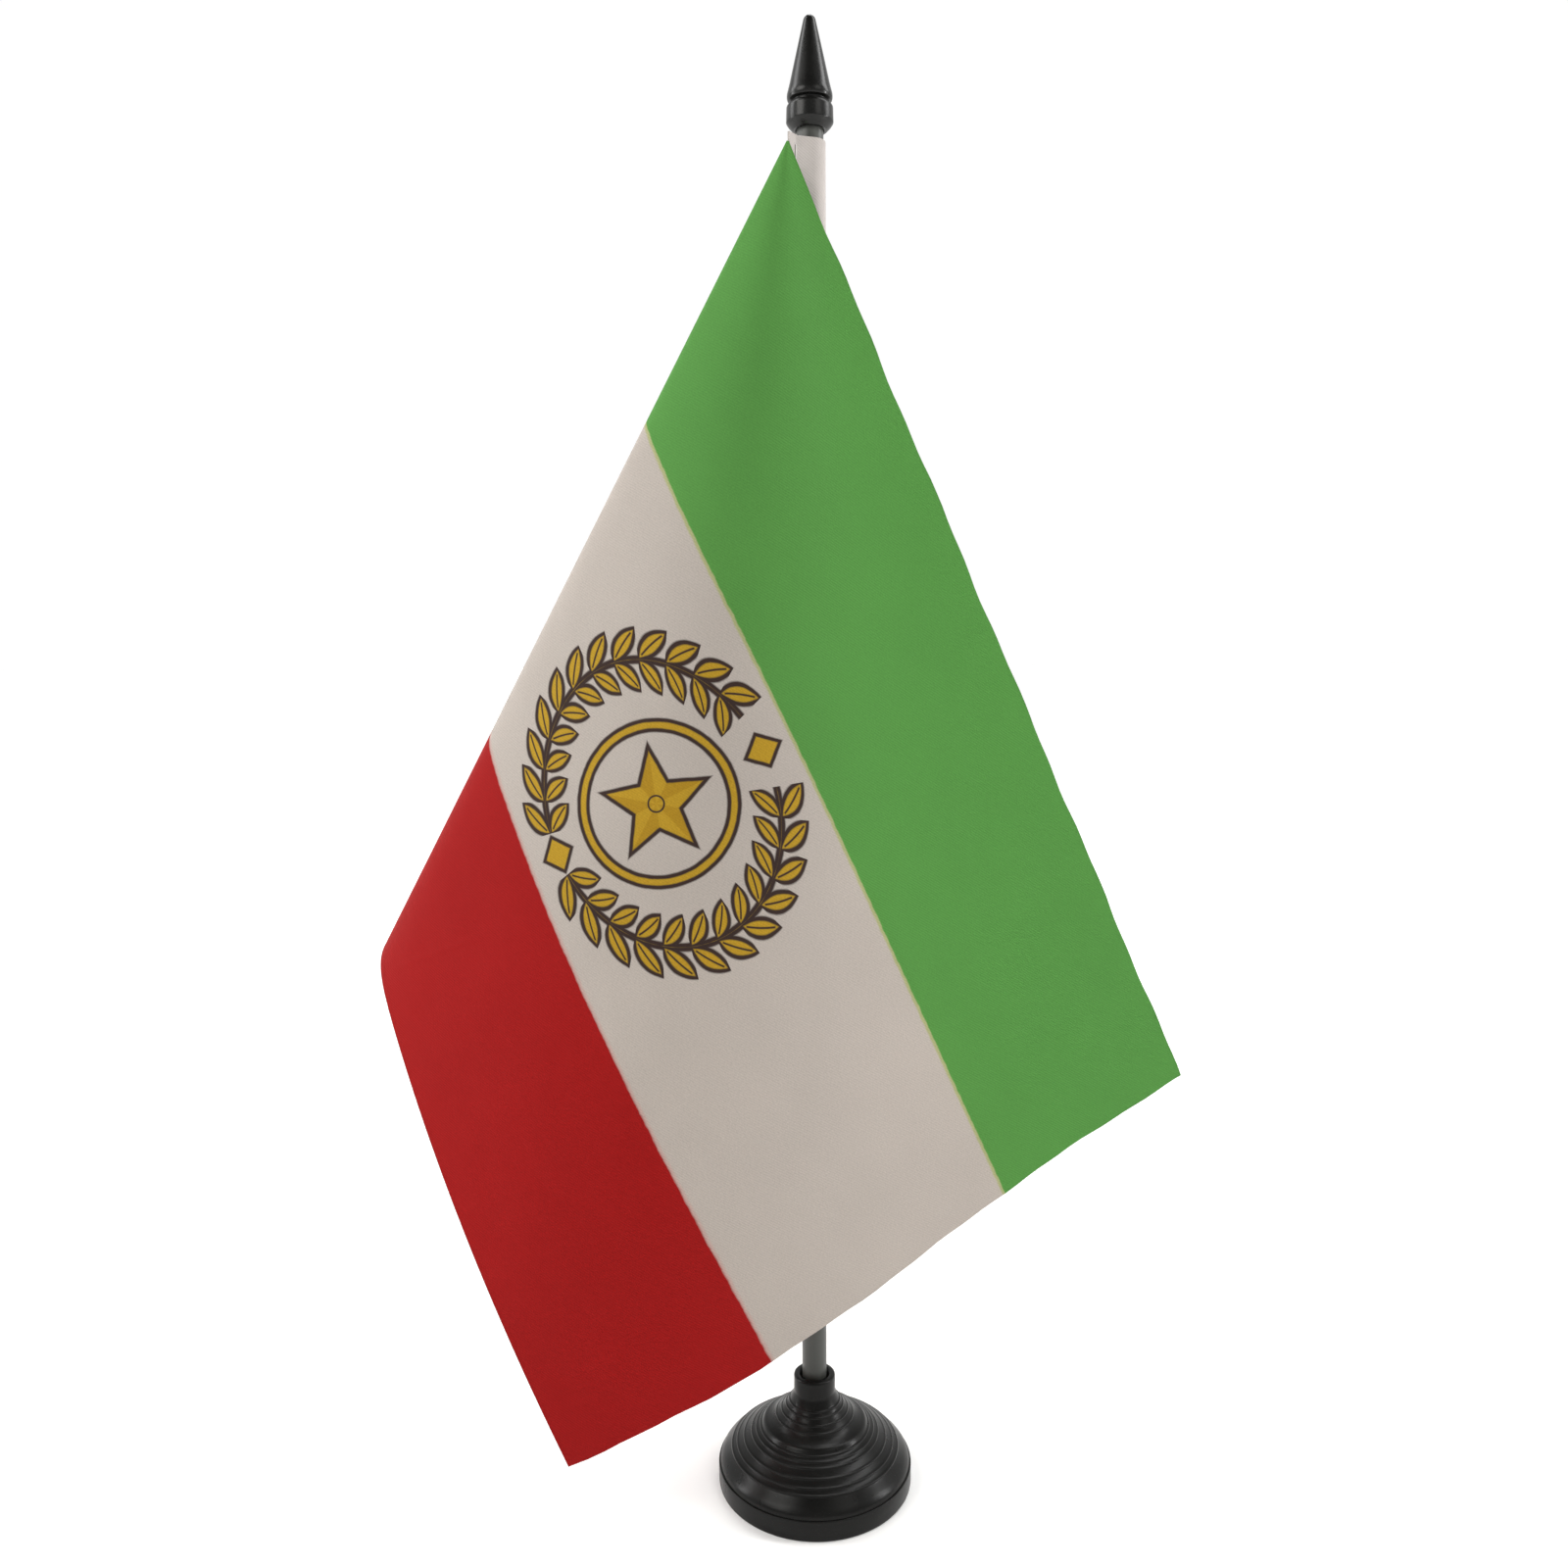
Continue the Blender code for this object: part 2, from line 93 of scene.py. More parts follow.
EDGE = 0.1 * MM  # rounding of a moulded edge


def pick(piece):
    """Selects this piece alone."""
    bpy.ops.object.select_all(action="DESELECT")
    piece.select_set(True)
    bpy.context.view_layer.objects.active = piece


def edit(piece):
    pick(piece)
    bpy.ops.object.mode_set(mode="EDIT")


def done_editing():
    bpy.ops.object.mode_set(mode="OBJECT")


def settle(piece, smooth_deg=None):
    """Puts the piece's place into its mesh, and shades it smooth below the given angle."""
    pick(piece)
    bpy.ops.object.transform_apply(location=True, rotation=True, scale=True)
    if smooth_deg is not None:
        bpy.ops.object.shade_smooth_by_angle(angle=math.radians(smooth_deg))


def thicken(cloth, thickness, smooth_deg):
    """Gives a sheet of cloth its thickness, half of it to each side."""
    edit(cloth)
    bpy.ops.mesh.select_all(action="SELECT")
    bpy.ops.mesh.normals_make_consistent(inside=False)
    done_editing()
    thick = cloth.modifiers.new("thickness", "SOLIDIFY")
    thick.thickness = thickness
    thick.offset = 0.0
    bpy.ops.object.modifier_apply(modifier=thick.name)
    settle(cloth, smooth_deg)


def print_places(cloth, flat):
    """Texture coordinates: where each point lies on the flat cloth, in flag lengths."""
    places = cloth.data.uv_layers.active.data
    for loop in cloth.data.loops:
        places[loop.index].uv = flat[loop.vertex_index]


def turned(name, profile, segments=128, smooth_deg=32):
    """A piece turned on a lathe: the profile is drawn point by point, then spun round the Z axis."""
    first_radius, first_height = profile[0]
    bpy.ops.mesh.primitive_plane_add(size=MM, location=(first_radius, 0.0, first_height))
    piece = bpy.context.object
    piece.name = piece.data.name = name
    settle(piece)
    edit(piece)
    bpy.ops.mesh.merge(type="CENTER")
    for before, after in zip(profile, profile[1:]):
        move = (after[0] - before[0], 0.0, after[1] - before[1])
        bpy.ops.mesh.extrude_region_move(TRANSFORM_OT_translate={"value": move})
    bpy.ops.mesh.select_all(action="SELECT")
    bpy.ops.mesh.spin(steps=segments, angle=2 * math.pi, center=(0, 0, 0), axis=(0, 0, 1))
    bpy.ops.mesh.select_all(action="SELECT")
    bpy.ops.mesh.remove_doubles(threshold=0.002 * MM)
    bpy.ops.mesh.normals_make_consistent(inside=False)
    done_editing()
    settle(piece, smooth_deg)
    return piece


def rounded(corners, steps=3):
    """The same outline with each inner corner rounded off by a radius that it gives third, or EDGE."""
    points = [corners[0][:2]]
    for before, corner, after in zip(corners, corners[1:], corners[2:]):
        own = corner[2] if len(corner) > 2 else EDGE
        here = Vector(corner[:2])
        back = Vector(before[:2]) - here
        ahead = Vector(after[:2]) - here
        cut = min(own, back.length * 0.45, ahead.length * 0.45)
        if cut < 0.01 * MM:
            points.append(tuple(here))
            continue
        start = here + back.normalized() * cut
        end = here + ahead.normalized() * cut
        for k in range(steps + 1):
            share = k / steps
            point = start * (1 - share) ** 2 + here * (2 * share * (1 - share)) + end * share**2
            points.append(tuple(point))
    points.append(corners[-1][:2])
    return points


# ---------------------------------------------------------------- shader maths


class Wire:
    """A socket whose arithmetic adds Math nodes."""

    def __init__(self, finish, socket):
        self.finish = finish
        self.socket = socket

    def math(self, operation, *others):
        return self.finish.add("ShaderNodeMath", {"operation": operation}, [self, *others])

    def __add__(self, other):
        return self.math("ADD", other)

    def __sub__(self, other):
        return self.math("SUBTRACT", other)

    def __mul__(self, other):
        return self.math("MULTIPLY", other)

    def __truediv__(self, other):
        return self.math("DIVIDE", other)

    def __rsub__(self, other):
        return (self * -1.0).math("ADD", other)

    def __neg__(self):
        return self * -1.0

    __radd__ = __add__

    def inside(self, edge, soft):
        """1 where this value is under the edge, 0 above, with a soft change between."""
        return ((edge - self) / soft + 0.5).math("MAXIMUM", 0.0).math("MINIMUM", 1.0)

    def least(self, other):
        return self.math("MINIMUM", other)

    def most(self, other):
        return self.math("MAXIMUM", other)

    def size(self):
        return self.math("ABSOLUTE")


class Finish:
    """A material, and the one way that its nodes are added."""

    def __init__(self, name, **constants):
        self.material = bpy.data.materials.new(name)
        self.material.use_nodes = True
        self.tree = self.material.node_tree
        self.shader = self.tree.nodes["Principled BSDF"]
        self.output = self.tree.nodes["Material Output"]
        for socket, value in constants.items():
            self.shader.inputs[socket.replace("_", " ")].default_value = value

    def add(self, kind, settings=None, inputs=(), output=0):
        """A node of this kind. inputs are values or wires, in order or by socket name."""
        node = self.tree.nodes.new(kind)
        for key, value in (settings or {}).items():
            setattr(node, key, value)
        pairs = inputs.items() if isinstance(inputs, dict) else enumerate(inputs)
        for key, value in pairs:
            if isinstance(value, Wire):
                self.tree.links.new(value.socket, node.inputs[key])
            else:
                node.inputs[key].default_value = value
        return Wire(self, node.outputs[output])

    def feed(self, socket, wire):
        self.tree.links.new(wire.socket, self.shader.inputs[socket])

    def place(self):
        """Object coordinates, in metres."""
        return self.add("ShaderNodeTexCoord", output="Object")

    def stretch(self, vector, scale):
        return self.add("ShaderNodeMapping", None, {"Vector": vector, "Scale": scale})

    def noise(self, vector, scale, detail=2.0, roughness=0.5):
        inputs = {"Vector": vector, "Scale": scale, "Detail": detail, "Roughness": roughness}
        return self.add("ShaderNodeTexNoise", None, inputs)

    def mix(self, share, low, high):
        """A mix of two colours, each a wire or (red, green, blue)."""
        colours = [c if isinstance(c, Wire) else (*c, 1.0) for c in (low, high)]
        inputs = {0: share, 6: colours[0], 7: colours[1]}
        return self.add("ShaderNodeMix", {"data_type": "RGBA"}, inputs, output=2)

    def tint(self, colour, gain):
        """A colour made lighter or darker by a wire."""
        grey = self.add("ShaderNodeCombineColor", None, [gain, gain, gain])
        inputs = {0: 1.0, 6: colour, 7: grey}
        settings = {"data_type": "RGBA", "blend_type": "MULTIPLY"}
        return self.add("ShaderNodeMix", settings, inputs, output=2)

    def bump(self, height, distance, strength=1.0):
        inputs = {"Height": height, "Distance": distance, "Strength": strength}
        self.feed("Normal", self.add("ShaderNodeBump", None, inputs))


def wear(piece, finish):
    piece.data.materials.clear()
    piece.data.materials.append(finish.material)


# ---------------------------------------------------------------- camera, light, floor


def camera():
    """Close in front of the stand and a little above its middle, looking slightly down."""
    lens = bpy.data.cameras.new("camera")
    lens.sensor_width = 36.0
    lens.lens = 28.92
    lens.clip_start = 0.01
    eye = bpy.data.objects.new("camera", lens)
    bpy.context.scene.collection.objects.link(eye)
    turn, dip, tilt = 0.0226, 0.1201, -0.00647  # radians
    ahead = Vector((-math.sin(turn) * math.cos(dip), math.cos(turn) * math.cos(dip), -math.sin(dip)))
    level = Vector((math.cos(turn), math.sin(turn), 0.0))
    upright = level.cross(ahead)
    right = level * math.cos(tilt) + upright * math.sin(tilt)
    up = upright * math.cos(tilt) - level * math.sin(tilt)
    basis = Matrix((right, up, -ahead)).transposed().to_4x4()
    eye.matrix_world = Matrix.Translation((0.0, -0.2388, 0.1711)) @ basis
    bpy.context.scene.camera = eye


def softbox(name, place, aim, size, watts, colour=(1.0, 1.0, 1.0)):
    light = bpy.data.lights.new(name, "AREA")
    light.shape = "RECTANGLE"
    light.size, light.size_y = size
    light.energy = watts
    light.color = colour
    lamp = bpy.data.objects.new(name, light)
    bpy.context.scene.collection.objects.link(lamp)
    direction = Vector(aim) - Vector(place)
    lamp.rotation_euler = direction.to_track_quat("-Z", "Y").to_euler()
    lamp.location = place


def studio():
    scene = bpy.context.scene
    scene.view_settings.view_transform = "Standard"
    world = bpy.data.worlds.new("studio")
    world.use_nodes = True
    tree = world.node_tree
    around = tree.nodes.new("ShaderNodeTexCoord")
    split = tree.nodes.new("ShaderNodeSeparateXYZ")
    tree.links.new(around.outputs["Generated"], split.inputs[0])
    shares = []
    # a white wall behind the stand, a dim room in front of it and overhead
    for axis, limits in (("Z", (0.45, 0.75, 1.0, 0.2)), ("Y", (-0.15, 0.45, 0.36, 1.01))):
        fade = tree.nodes.new("ShaderNodeMapRange")
        fade.interpolation_type = "SMOOTHSTEP"
        for socket, value in zip(("From Min", "From Max", "To Min", "To Max"), limits):
            fade.inputs[socket].default_value = value
        tree.links.new(split.outputs[axis], fade.inputs["Value"])
        shares.append(fade)
    both = tree.nodes.new("ShaderNodeMath")
    both.operation = "MULTIPLY"
    tree.links.new(shares[0].outputs[0], both.inputs[0])
    tree.links.new(shares[1].outputs[0], both.inputs[1])
    tree.links.new(both.outputs[0], tree.nodes["Background"].inputs["Strength"])
    tree.nodes["Background"].inputs["Color"].default_value = (1.0, 1.0, 0.995, 1.0)
    scene.world = world
    middle, upper = (0.0, 0.0, 0.15), (0.0, 0.0, 0.27)
    warm = (1.0, 0.985, 0.95)
    softbox("left_key", (-0.46, -0.40, 0.54), middle, (0.36, 0.36), 2.2, warm)
    softbox("right_key", (0.40, -0.42, 0.58), middle, (0.3, 0.3), 0.5, warm)
    softbox("left_strip", (-0.60, 0.0, 0.25), middle, (0.06, 0.3), 1.1)
    softbox("right_strip", (0.60, -0.05, 0.25), middle, (0.05, 0.25), 1.4)
    softbox("left_high", (-0.47, 0.06, 0.68), upper, (0.2, 0.5), 2.0)
    softbox("right_high", (0.47, 0.06, 0.68), upper, (0.2, 0.5), 2.3)
    softbox("top", (0.10, 0.25, 0.9), middle, (0.4, 0.3), 2.0)
    bpy.ops.mesh.primitive_plane_add(size=8.0, location=(0.0, 2.0, 0.0))
    floor = bpy.context.object
    floor.name = "floor"
    settle(floor)
    # Painted light: the floor glows by its own emission instead of being lit, so it and the background
    # read white and shadows on it are washed out.
    paper = Finish("glowing_floor_paper", Roughness=0.85, Emission_Strength=0.74)
    away = paper.add("ShaderNodeVectorMath", {"operation": "LENGTH"}, [paper.place()], output="Value")
    # painted glow: dim grey next to the stand, rising to full white further away
    painted_glow_share = 1 - away.inside(0.42, 0.5)
    paper.feed("Emission Color", paper.mix(painted_glow_share, (0.23, 0.23, 0.228), (1.0, 0.998, 0.99)))
    grain = paper.noise(paper.place(), 60.0, 3.0)
    paper.feed("Base Color", paper.mix(grain, (0.86, 0.855, 0.845), (0.9, 0.895, 0.885)))
    floor.data.materials.append(paper.material)


# ---------------------------------------------------------------- the hung cloth


def curl_at(angle):
    """How sharply the sweep of lines turns at this angle from the hoist edge."""
    spread = (angle - FOLD_ANGLE) / FOLD_SOFTNESS
    fold = FOLD_TURN / (FOLD_SOFTNESS * math.sqrt(2 * math.pi)) * math.exp(-0.5 * spread * spread)
    share = 1 / (1 + math.exp(-max(-60.0, min(60.0, 2 * spread))))
    place = (angle - FOLD_ANGLE) / (math.pi / 2 - FOLD_ANGLE) * (len(FRONT_CURL) - 1)
    place = max(0.0, min(len(FRONT_CURL) - 1.0, place))
    low = min(int(place), len(FRONT_CURL) - 2)
    front = FRONT_CURL[low] + (FRONT_CURL[low + 1] - FRONT_CURL[low]) * (place - low)
    return fold + BACK_CURL * (1 - share) + front * share


def cloth_lines():
    """Directions of the straight lines that the cloth hangs in, from the hoist edge to the top edge."""
    line = Vector((0.0, 0.0, -1.0))
    sweep = Vector((math.cos(BACK_AZIMUTH), math.sin(BACK_AZIMUTH), 0.0))
    lines = [line.copy()]
    for k in range(SWEEP_STEPS):
        turn = line.cross(sweep) + line * curl_at((k + 0.5) * SWEEP_PACE)
        step = Matrix.Rotation(turn.length * SWEEP_PACE, 3, turn)
        line = (step @ line).normalized()
        sweep = step @ sweep
        sweep = (sweep - line * sweep.dot(line)).normalized()
        lines.append(line.copy())
    return lines


def seam_point(reach, aside, height):
    """A point of the seam: reach out from the pole's axis, aside across the seam, at a height."""
    out = Vector((math.cos(SEAM_AZIMUTH), math.sin(SEAM_AZIMUTH), 0.0))
    across = Vector((-out.y, out.x, 0.0))
    return out * reach + across * aside + Vector((0.0, 0.0, height))


LINES = cloth_lines()
CORNER = seam_point(SEAM_REACH, 0.0, FLAG_TOP - FIELD_DROP)


def hung(along, down):
    """Where a point of the flat cloth hangs, from its distances along the length and down the width."""
    place = math.atan2(along, down) / SWEEP_PACE
    low = max(0, min(int(place), SWEEP_STEPS - 1))
    line = LINES[low].lerp(LINES[low + 1], min(place - low, 1.0)).normalized()
    return CORNER + line * math.hypot(along, down)


def sweep_angles():
    """Angles at which the cloth gets a line of points: closer round the fold, one in the fly corner."""
    corner = math.atan2(FLAG_LENGTH, FLAG_WIDTH)
    angles, turned_by, last = [0.0], 0.0, 0.0
    for k in range(1, SWEEP_STEPS):
        angle = k * SWEEP_PACE
        turned_by += abs(curl_at(angle)) * SWEEP_PACE
        if angle - SWEEP_PACE < corner <= angle:
            angles.append(corner)
            turned_by, last = 0.0, corner
        elif turned_by > math.radians(3) or angle - last > math.radians(0.7):
            angles.append(angle)
            turned_by, last = 0.0, angle
    return angles + [math.pi / 2]


def ragged(along, down):
    """The heat-cut edges wander by a fraction of a millimetre."""
    top = 0.16 * MM * (1.2 + math.sin(along / (6.3 * MM)) + 0.7 * math.sin(along / (2.3 * MM) + 1.0))
    fly = 0.14 * MM * (1.2 + math.sin(down / (5.1 * MM) + 2.0) + 0.6 * math.sin(down / (1.9 * MM)))
    near_top = max(0.0, 1 - down / (3 * MM)) * min(1.0, along / (20 * MM))
    near_fly = max(0.0, 1 - (FLAG_LENGTH - along) / (3 * MM))
    return along - fly * near_fly, down + top * near_top


def flag_field():
    angles = sweep_angles()
    rows = 72
    start = 0.3 * MM
    bpy.ops.mesh.primitive_grid_add(x_subdivisions=len(angles) - 1, y_subdivisions=rows, size=1.0)
    piece = bpy.context.object
    piece.name = piece.data.name = "printed_flag"
    flat = []
    for vertex in piece.data.vertices:
        column = round((vertex.co.x + 0.5) * (len(angles) - 1))
        row = vertex.co.y + 0.5
        angle = angles[column]
        reach = min(
            FLAG_WIDTH / max(math.cos(angle), 1e-6),
            FLAG_LENGTH / max(math.sin(angle), 1e-6),
        )
        away = start + (reach - start) * row
        along, down = ragged(away * math.sin(angle), away * math.cos(angle))
        flat.append((along / FLAG_LENGTH, 1.0 - down / FLAG_LENGTH))
        vertex.co = hung(along, down)
    print_places(piece, flat)
    thicken(piece, CLOTH, 60)
    return piece


def sleeve():
    """One strip of cloth round the pole, its two ends laid together and sewn."""
    wrap = POLE_RADIUS + 0.3 * MM
    leave = math.acos(wrap / (SEAM_REACH - STITCH_INSET - 0.9 * MM))
    half = HEM_CLOTH / 2 + 0.02 * MM
    path = [(SEAM_REACH - 0.2 * MM, half), (SEAM_REACH - STITCH_INSET, half)]
    path.append((SEAM_REACH - STITCH_INSET - 0.8 * MM, half * 1.3))
    turns = 44
    for k in range(turns + 1):
        angle = leave + (2 * math.pi - 2 * leave) * k / turns
        path.append((wrap * math.cos(angle), wrap * math.sin(angle)))
    path += [(reach, -aside) for reach, aside in reversed(path[:3])]
    rows = 74
    top, foot = SLEEVE_HIGH.z, SLEEVE_LOW.z
    bpy.ops.mesh.primitive_grid_add(x_subdivisions=len(path) - 1, y_subdivisions=rows, size=1.0)
    piece = bpy.context.object
    piece.name = piece.data.name = "pole_sleeve"
    lengths = [0.0]
    for before, after in zip(path, path[1:]):
        lengths.append(lengths[-1] + math.dist(before, after))
    flat = []
    for vertex in piece.data.vertices:
        column = round((vertex.co.x + 0.5) * (len(path) - 1))
        share = vertex.co.y + 0.5
        reach, aside = path[column]
        height = foot + (top - foot) * share
        vertex.co = seam_point(reach, aside, height)
        flat.append((lengths[column] / FLAG_LENGTH, share * (top - foot) / FLAG_LENGTH))
    print_places(piece, flat)
    thicken(piece, HEM_CLOTH, 50)
    return piece, lengths[-1]


def stitches(name, side):
    """One thread of the lockstitch: short stitches that dip into the cloth at both ends."""
    thread = 0.13 * MM
    lift = HEM_CLOTH + thread * 0.8
    length = STITCH_PITCH * 0.62
    top = SLEEVE_HIGH.z - STITCH_PITCH
    count = int((SLEEVE_HIGH.z - SLEEVE_LOW.z - STITCH_PITCH) / STITCH_PITCH)
    inward = seam_point(0.0, -side * 0.9, 0.0).normalized() * thread * 0.8
    bpy.ops.mesh.primitive_cylinder_add(
        vertices=8, radius=thread, depth=length, end_fill_type="NGON",
        location=seam_point(SEAM_REACH - STITCH_INSET, side * lift, top),
    )
    first = bpy.context.object
    settle(first)
    edit(first)
    for end in (1, -1):
        bpy.ops.mesh.select_mode(type="FACE")
        bpy.ops.mesh.select_all(action="DESELECT")
        done_editing()
        for face in first.data.polygons:
            face.select = face.normal.z * end > 0.9
        bpy.ops.object.mode_set(mode="EDIT")
        for shrink, drop in ((0.85, 0.3), (0.6, 0.7)):
            move = inward * drop * 1.4 + Vector((0.0, 0.0, end * STITCH_PITCH * 0.07))
            bpy.ops.mesh.extrude_region_move(TRANSFORM_OT_translate={"value": move})
            bpy.ops.transform.resize(value=(shrink, shrink, 1.0))
    done_editing()
    row = [first]
    for k in range(1, count):
        copy = first.copy()
        copy.data = first.data.copy()
        bpy.context.scene.collection.objects.link(copy)
        copy.location.z = -k * STITCH_PITCH
        row.append(copy)
    pick(first)
    for stitch in row:
        stitch.select_set(True)
    bpy.ops.object.transform_apply(location=True, rotation=True, scale=True)
    bpy.ops.object.join()
    first.name = first.data.name = name
    settle(first, 70)
    return first


# ---------------------------------------------------------------- turned plastic pieces

# Steps of the dome, as shares of the way from the neck out to the shoulder
WIDE_STEPS = [0.52, 0.585, 0.655, 0.77, 0.875, 0.955]
OGEE_TOP = 0.335
FINE_STEPS = [0.08, 0.13, 0.2, 0.28]
STEP_RISE = 0.4 * MM
BASE_RADIUS = FOOT_HIGH.x
SHOULDER_RADIUS = BASE_RADIUS - 2.0 * MM
SHOULDER_HEIGHT = 7.0 * MM
NECK_RADIUS = POLE_RADIUS + 1.7 * MM
NECK_TOP = DOME_HIGH.z
NECK_FOOT = NECK_TOP - 4.0 * MM
SWEEP_SHARE = 0.16  # how much of the cone's rise is in the sweep up to the neck
SKIRT_WALL = 1.5 * MM
CONE_WALL = 2.85 * MM  # measured upright
DOME_SOCKET_FLOOR = 7.1 * MM
DOME_SOCKET_UNDERSIDE = 5.9 * MM
SPEAR_SOCKET_DEPTH = 8.6 * MM


def cone_radius(share):
    return NECK_RADIUS + (SHOULDER_RADIUS - NECK_RADIUS) * share


def cone_height(radius):
    rise = NECK_FOOT - SHOULDER_HEIGHT
    slope = rise * (1 - SWEEP_SHARE) * (SHOULDER_RADIUS - radius) / (SHOULDER_RADIUS - NECK_RADIUS)
    ogee_top = cone_radius(OGEE_TOP)
    inward = max(0.0, (ogee_top - radius) / (ogee_top - NECK_RADIUS))
    return SHOULDER_HEIGHT + slope + rise * SWEEP_SHARE * inward * inward


def dome_moulding():
    skirt = DOME_HIGH.x
    bottom = DOME_LOW.z - 0.25 * MM
    socket = POLE_RADIUS + POLE_PLAY
    flare = 0.5 * MM
    outer = [
        (0.0, DOME_SOCKET_FLOOR),
        (socket, DOME_SOCKET_FLOOR, 0.1 * MM),
        (socket, NECK_TOP - flare * 1.4, 0.3 * MM),
        (socket + flare, NECK_TOP, 0.12 * MM),
        (NECK_RADIUS, NECK_TOP, 0.5 * MM),
        (NECK_RADIUS, NECK_FOOT + STEP_RISE, 0.3 * MM),
    ]
    for radius in map(cone_radius, FINE_STEPS):
        outer.append((radius - STEP_RISE * 0.8, cone_height(radius) + STEP_RISE * 0.75, 0.12 * MM))
        outer.append((radius, cone_height(radius) + STEP_RISE * 0.45, 0.12 * MM))
        outer.append((radius, cone_height(radius) - STEP_RISE * 0.15, 0.08 * MM))
    ogee_top = cone_radius(OGEE_TOP)
    middle = (ogee_top + cone_radius(WIDE_STEPS[0])) / 2
    outer.append((ogee_top, cone_height(ogee_top) - STEP_RISE * 0.2, 0.3 * MM))
    outer.append((middle - STEP_RISE, cone_height(middle) + STEP_RISE * 0.9, 0.6 * MM))
    outer.append((middle + STEP_RISE, cone_height(middle) + STEP_RISE * 0.3, 0.4 * MM))
    for radius in map(cone_radius, WIDE_STEPS):
        outer.append((radius - STEP_RISE, cone_height(radius) + STEP_RISE * 0.6, 0.14 * MM))
        outer.append((radius, cone_height(radius) + STEP_RISE * 0.3, 0.14 * MM))
        outer.append((radius + STEP_RISE / 8, cone_height(radius) - STEP_RISE * 0.35, 0.08 * MM))
    outer += [
        (SHOULDER_RADIUS, SHOULDER_HEIGHT - 0.25 * MM, 0.5 * MM),
        (skirt - 0.75 * MM, SHOULDER_HEIGHT - 1.15 * MM, 0.6 * MM),
        (skirt - 0.15 * MM, SHOULDER_HEIGHT - 2.0 * MM, 0.5 * MM),
        (skirt, bottom, 0.06 * MM),
        (skirt - SKIRT_WALL, bottom, 0.1 * MM),
        (skirt - SKIRT_WALL, SHOULDER_HEIGHT - 1.6 * MM, 0.8 * MM),
        (SHOULDER_RADIUS - 1.6 * MM, SHOULDER_HEIGHT - 1.2 * MM, 0.5 * MM),
        (ogee_top, cone_height(ogee_top) - CONE_WALL, 0.5 * MM),
        (NECK_RADIUS + 0.6 * MM, cone_height(NECK_RADIUS + 0.6 * MM) - CONE_WALL, 0.3 * MM),
        (NECK_RADIUS, NECK_FOOT - 3.6 * MM, 0.3 * MM),
        (NECK_RADIUS, DOME_SOCKET_UNDERSIDE, 0.1 * MM),
        (0.0, DOME_SOCKET_UNDERSIDE),
    ]
    return turned("dome_moulding", rounded(outer), segments=160, smooth_deg=40)


def foot_moulding():
    """The tray under the base. Its underside stands on a low rim."""
    top = FOOT_HIGH.z
    spigot_out = DOME_HIGH.x - 1.8 * MM
    ledge = DOME_LOW.z - 0.3 * MM
    corners = [
        (0.0, 1.5 * MM),
        (spigot_out - 0.9 * MM, 1.5 * MM, 0.2 * MM),
        (spigot_out - 0.9 * MM, top, 0.2 * MM),
        (spigot_out, top, 0.2 * MM),
        (spigot_out, ledge, 0.05 * MM),
        (BASE_RADIUS, ledge, 0.15 * MM),
        (BASE_RADIUS, 0.0, 0.55 * MM),
        (BASE_RADIUS - 2.2 * MM, 0.0, 0.2 * MM),
        (BASE_RADIUS - 2.6 * MM, 0.35 * MM, 0.2 * MM),
        (4.0 * MM, 0.35 * MM, 0.2 * MM),
        (3.6 * MM, 0.15 * MM, 0.15 * MM),
        (0.0, 0.15 * MM),
    ]
    return turned("foot_moulding", rounded(corners), segments=160, smooth_deg=40)


def spear():
    """The finial: a collar, a narrow groove and a slender cone with a rounded tip."""
    low, high = SPEAR_LOW.z, SPEAR_HIGH.z
    collar = SPEAR_HIGH.x
    socket = POLE_RADIUS + POLE_PLAY
    tip = 1.15 * MM
    lip = low + 5.15 * MM
    outer = [(0.0, high)]
    for k in range(1, 8):
        angle = math.radians(90 - 75 * k / 7)
        outer.append((tip * math.cos(angle), high - tip + tip * math.sin(angle)))
    body = [
        outer[-1],
        (2.32 * MM, low + 13.6 * MM, 1.5 * MM),
        (3.70 * MM, low + 7.6 * MM, 1.2 * MM),
        (collar - 0.26 * MM, low + 6.2 * MM, 0.5 * MM),
        (collar - 0.23 * MM, low + 5.6 * MM, 0.3 * MM),
        (collar - 0.36 * MM, lip, 0.12 * MM),
        (collar - 1.2 * MM, lip - 0.1 * MM, 0.1 * MM),
        (collar - 1.2 * MM, low + 4.45 * MM, 0.1 * MM),
        (collar - 0.45 * MM, low + 4.42 * MM, 0.1 * MM),
        (collar - 0.15 * MM, low + 3.95 * MM, 0.15 * MM),
        (collar - 0.08 * MM, low + 1.35 * MM, 0.15 * MM),
        (collar - 0.5 * MM, low + 0.75 * MM, 0.2 * MM),
        (collar - 1.25 * MM, low, 0.15 * MM),
        (socket, low, 0.1 * MM),
        (socket, low + SPEAR_SOCKET_DEPTH, 0.2 * MM),
        (0.0, low + SPEAR_SOCKET_DEPTH),
    ]
    profile = outer[:-1] + rounded(body, steps=4)
    return turned("spear_finial", profile, segments=96, smooth_deg=24)


def pole_tube():
    low, high = POLE_LOW.z, POLE_HIGH.z
    inside = POLE_RADIUS - 0.8 * MM
    corners = [
        (inside, (low + high) / 2),
        (inside, low, 0.1 * MM),
        (POLE_RADIUS, low, 0.2 * MM),
        (POLE_RADIUS, high, 0.2 * MM),
        (inside, high, 0.1 * MM),
        (inside, (low + high) / 2),
    ]
    return turned("pole_tube", rounded(corners), segments=64, smooth_deg=50)


# ---------------------------------------------------------------- finishes

# Pitch of the weave, in millimetres on the flat cloth
TWILL_PITCH = 0.43
YARN_PITCH = 0.31


